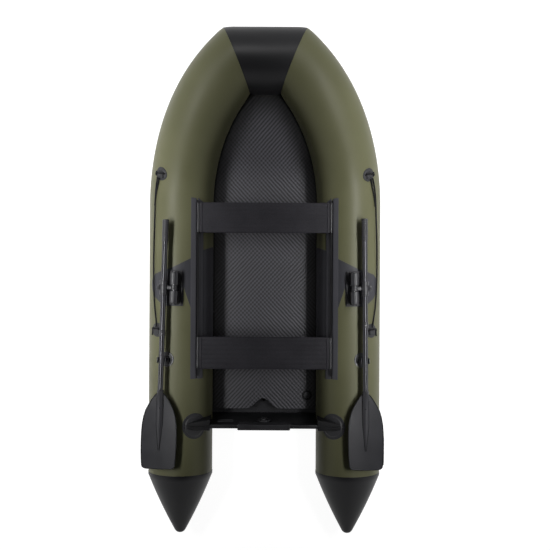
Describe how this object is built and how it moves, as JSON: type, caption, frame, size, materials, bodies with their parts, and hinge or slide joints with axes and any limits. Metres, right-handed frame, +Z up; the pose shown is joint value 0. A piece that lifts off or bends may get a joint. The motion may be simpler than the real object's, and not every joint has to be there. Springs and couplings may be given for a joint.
{
  "type": "inflatable boat",
  "caption": "Inflatable boat with upswept bow, vee bottom, air floor, board transom, sliding bench seats and oars stowed on its tubes",
  "frame": {"origin": "under the middle of the boat's box, on the floor it stands on", "axes": "+Y to the bow, +X to starboard, +Z up"},
  "size_m": [1.554, 3.2, 0.66],
  "materials": {
    "tube_fabric": "olive coated fabric, satin",
    "black_fabric": "black coated fabric, satin",
    "bottom_fabric": "black coated fabric, matt",
    "floor_fabric": "dark grey coated fabric with a raised diamond grip",
    "dark_patch": "dark grey reinforced fabric",
    "black_rubber": "moulded, satin",
    "black_plastic": "moulded, fine grain",
    "blade_plastic": "moulded, satin",
    "seat_board": "ribbed, satin",
    "grip_rubber": "foam, matt",
    "black_aluminium": "black anodised",
    "transom_wood": "marine plywood, painted black",
    "name_plate": "grey, blank",
    "rope": "braided, black",
    "steel": "stainless"
  },
  "bodies": {
    "hull": {"air_floor": "floor_fabric", "bow_tube": "black_fabric", "carry_handle_port": "black_rubber", "carry_handle_starboard": "black_rubber", "drain_valve": "black_plastic", "floor_valve": "black_plastic", "grab_line_port": "rope", "grab_line_starboard": "rope", "keel_strake": "black_rubber", "motor_plate": "black_plastic", "name_plate": "name_plate", "oar_clip_port": "black_rubber", "oar_clip_starboard": "black_rubber", "oarlock_base_port": "black_rubber", "oarlock_base_starboard": "black_rubber", "rope_holders_port": "black_rubber", "rope_holders_starboard": "black_rubber", "seat_rail_port": "dark_patch", "seat_rail_starboard": "dark_patch", "side_patch_port": "dark_patch", "side_patch_starboard": "dark_patch", "stern_cone_port": "black_fabric", "stern_cone_starboard": "black_fabric", "towing_patch": "black_rubber", "transom": "transom_wood", "transom_holder_port": "black_rubber", "transom_holder_starboard": "black_rubber", "tube_port": "tube_fabric", "tube_starboard": "tube_fabric", "tube_valves": "black_plastic", "vee_bottom": "bottom_fabric"},
    "oar_port": {"oarlock_yoke_port": "black_plastic", "oar_sleeve_port": "black_plastic", "oar_knob_port": "black_plastic", "oar_shaft_port": "black_aluminium", "oar_grip_port": "grip_rubber", "oar_blade_port": "blade_plastic"},
    "oar_starboard": {"oarlock_yoke_starboard": "black_plastic", "oar_sleeve_starboard": "black_plastic", "oar_knob_starboard": "black_plastic", "oar_shaft_starboard": "black_aluminium", "oar_grip_starboard": "grip_rubber", "oar_blade_starboard": "blade_plastic"},
    "seat_front": {"seat_front": "seat_board", "seat_front_slides": "dark_patch"},
    "seat_rear": {"seat_rear": "seat_board", "seat_rear_slides": "dark_patch"},
    "towing_ring": {"towing_ring": "steel"}
  },
  "joints": [
    {"name": "oar_port_raise", "type": "hinge", "parent": "hull", "child": "oar_port", "pos_m": [-0.56, -0.014, 0.462], "axis": [0.0262, 0.9997, 0], "range_deg": [0, 90]},
    {"name": "oar_starboard_raise", "type": "hinge", "parent": "hull", "child": "oar_starboard", "pos_m": [0.56, -0.014, 0.462], "axis": [0.0105, -0.9999, 0], "range_deg": [0, 90]},
    {"name": "seat_front_slide", "type": "slide", "parent": "hull", "child": "seat_front", "axis": [0, 1, 0], "range_m": [-0.64, 0.012]},
    {"name": "seat_rear_slide", "type": "slide", "parent": "hull", "child": "seat_rear", "axis": [0, 1, 0], "range_m": [-0.04, 0.64]},
    {"name": "towing_ring_swing", "type": "hinge", "parent": "hull", "child": "towing_ring", "pos_m": [0, 1.4522, 0.24153], "axis": [1, 0, 0], "range_deg": [-70, 95]}
  ]
}
